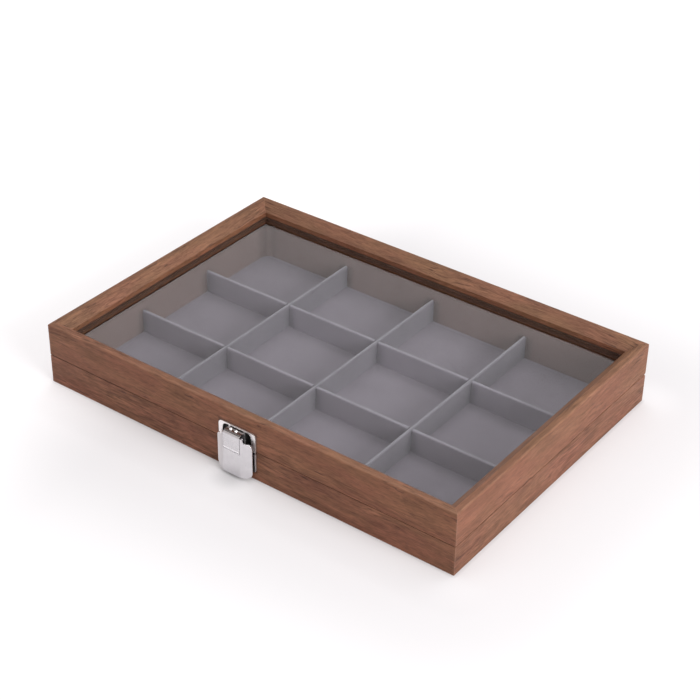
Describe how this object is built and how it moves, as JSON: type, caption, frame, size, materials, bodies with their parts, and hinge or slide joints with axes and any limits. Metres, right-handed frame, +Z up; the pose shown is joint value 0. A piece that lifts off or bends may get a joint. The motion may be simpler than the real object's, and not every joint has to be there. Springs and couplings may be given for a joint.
{
  "type": "cufflink display box",
  "caption": "Shallow wooden display box with a hinged glass-topped lid, a draw latch and soft-lined compartments on a regular grid.",
  "frame": {"origin": "middle of the underside of the case, on the surface it stands on", "axes": "+X to the right along the front, +Y from the latch side to the hinge side, +Z up"},
  "size_m": [0.355, 0.253, 0.05],
  "materials": {
    "walnut": "satin brown wood with fine streaks along each rail",
    "panel_board": "plain dark board",
    "grey_velvet": "warm grey short-pile velvet",
    "clear_glass": "clear flat glass",
    "plated_steel": "plain plated steel",
    "chrome_plate": "bright satin chrome"
  },
  "bodies": {
    "base": {"base_front_rail": "walnut", "base_rear_rail": "walnut", "base_left_rail": "walnut", "base_right_rail": "walnut", "base_bottom_panel": "panel_board", "floor_pad": "grey_velvet", "front_wall_lining": "grey_velvet", "rear_wall_lining": "grey_velvet", "left_wall_lining": "grey_velvet", "right_wall_lining": "grey_velvet", "long_divider_1": "grey_velvet", "long_divider_2": "grey_velvet", "cross_divider_1": "grey_velvet", "cross_divider_2": "grey_velvet", "cross_divider_3": "grey_velvet", "left_hinge_base_leaf": "plated_steel", "left_hinge_pin": "plated_steel", "right_hinge_base_leaf": "plated_steel", "right_hinge_pin": "plated_steel", "hinge_base_screws": "plated_steel", "latch_base_plate": "chrome_plate", "latch_base_pins": "chrome_plate", "latch_lever_pin": "chrome_plate"},
    "lid": {"lid_front_rail": "walnut", "lid_rear_rail": "walnut", "lid_left_rail": "walnut", "lid_right_rail": "walnut", "glass_pane": "clear_glass", "front_glazing_strip": "walnut", "rear_glazing_strip": "walnut", "left_glazing_strip": "walnut", "right_glazing_strip": "walnut", "left_hinge_lid_leaf": "plated_steel", "right_hinge_lid_leaf": "plated_steel", "hinge_lid_screws": "plated_steel", "latch_strike_plate": "chrome_plate", "latch_strike_pins": "chrome_plate"},
    "latch_lever": {"latch_lever": "chrome_plate", "latch_claw_pin": "chrome_plate"},
    "latch_claw": {"latch_claw": "chrome_plate"}
  },
  "joints": [
    {"name": "lid_hinge", "type": "hinge", "parent": "base", "child": "lid", "pos_m": [0, 0.1213, 0.0236], "axis": [-1, 0, 0], "range_deg": [0, 100]},
    {"name": "lever_pivot", "type": "hinge", "parent": "base", "child": "latch_lever", "pos_m": [0, -0.1265, 0.029], "axis": [-1, 0, 0], "range_deg": [0, 45]},
    {"name": "claw_pivot", "type": "hinge", "parent": "latch_lever", "child": "latch_claw", "pos_m": [0, -0.1279, 0.0227], "axis": [-1, 0, 0], "range_deg": [-45, 0]}
  ],
  "couplings": [
    {"joint": "claw_pivot", "follows": "lever_pivot", "ratio": -1}
  ]
}
